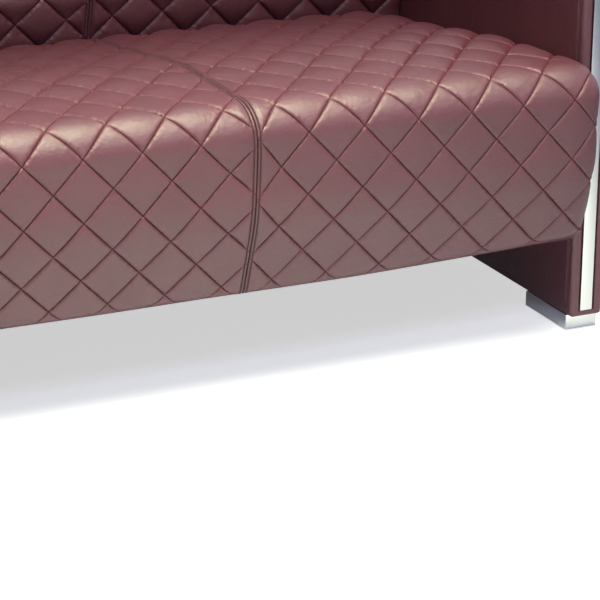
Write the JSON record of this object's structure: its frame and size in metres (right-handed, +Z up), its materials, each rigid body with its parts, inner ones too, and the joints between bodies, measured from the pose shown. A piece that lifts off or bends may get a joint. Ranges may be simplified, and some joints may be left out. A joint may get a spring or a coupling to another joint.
{
  "type": "sofa",
  "caption": "Low sofa with diamond-quilted leather seat and back, slab arms edged with an inlaid steel strip, and low polished feet.",
  "frame": {"origin": "centre of the sofa's footprint, on the floor", "axes": "+X towards the right arm as seen from the front, +Y from the front of the seat towards the back, +Z up"},
  "size_m": [1.829, 0.8441, 0.79],
  "materials": {
    "timber": "planed softwood, unfinished",
    "zinc_steel": "zinc plated",
    "felt": "needled felt",
    "foam": "polyurethane foam with wadding",
    "quilted_leather": "semi-gloss grained leather, diamond quilted",
    "arm_leather": "semi-gloss grained leather",
    "black_cloth": "non-woven",
    "webbing": "elastic woven webbing",
    "polished_steel": "mirror polished",
    "glide_plastic": "moulded"
  },
  "bodies": {
    "root": {"seat_front_rail": "timber", "seat_rear_rail": "timber", "seat_side_rails": "timber", "seat_cross_rails": "timber", "seat_corner_blocks": "timber", "seat_springs": "zinc_steel", "spring_clips": "zinc_steel", "spring_pad": "felt", "seat_foam": "foam", "seat_cover_left": "quilted_leather", "seat_cover_middle": "quilted_leather", "seat_cover_right": "quilted_leather", "dust_cover": "black_cloth", "back_posts": "timber", "back_top_rail": "timber", "back_bottom_rail": "timber", "back_webbing": "webbing", "back_foam": "foam", "back_cover_left": "quilted_leather", "back_cover_middle": "quilted_leather", "back_cover_right": "quilted_leather", "back_rear_panel": "arm_leather", "left_arm_frame": "timber", "right_arm_frame": "timber", "left_arm_cover": "arm_leather", "right_arm_cover": "arm_leather", "left_arm_trim": "polished_steel", "right_arm_trim": "polished_steel", "left_front_foot": "polished_steel", "right_front_foot": "polished_steel", "left_rear_foot": "polished_steel", "right_rear_foot": "polished_steel", "foot_glides": "glide_plastic", "foot_screws": "zinc_steel", "arm_bolts": "zinc_steel", "tee_nuts": "zinc_steel"}
  },
  "joints": []
}
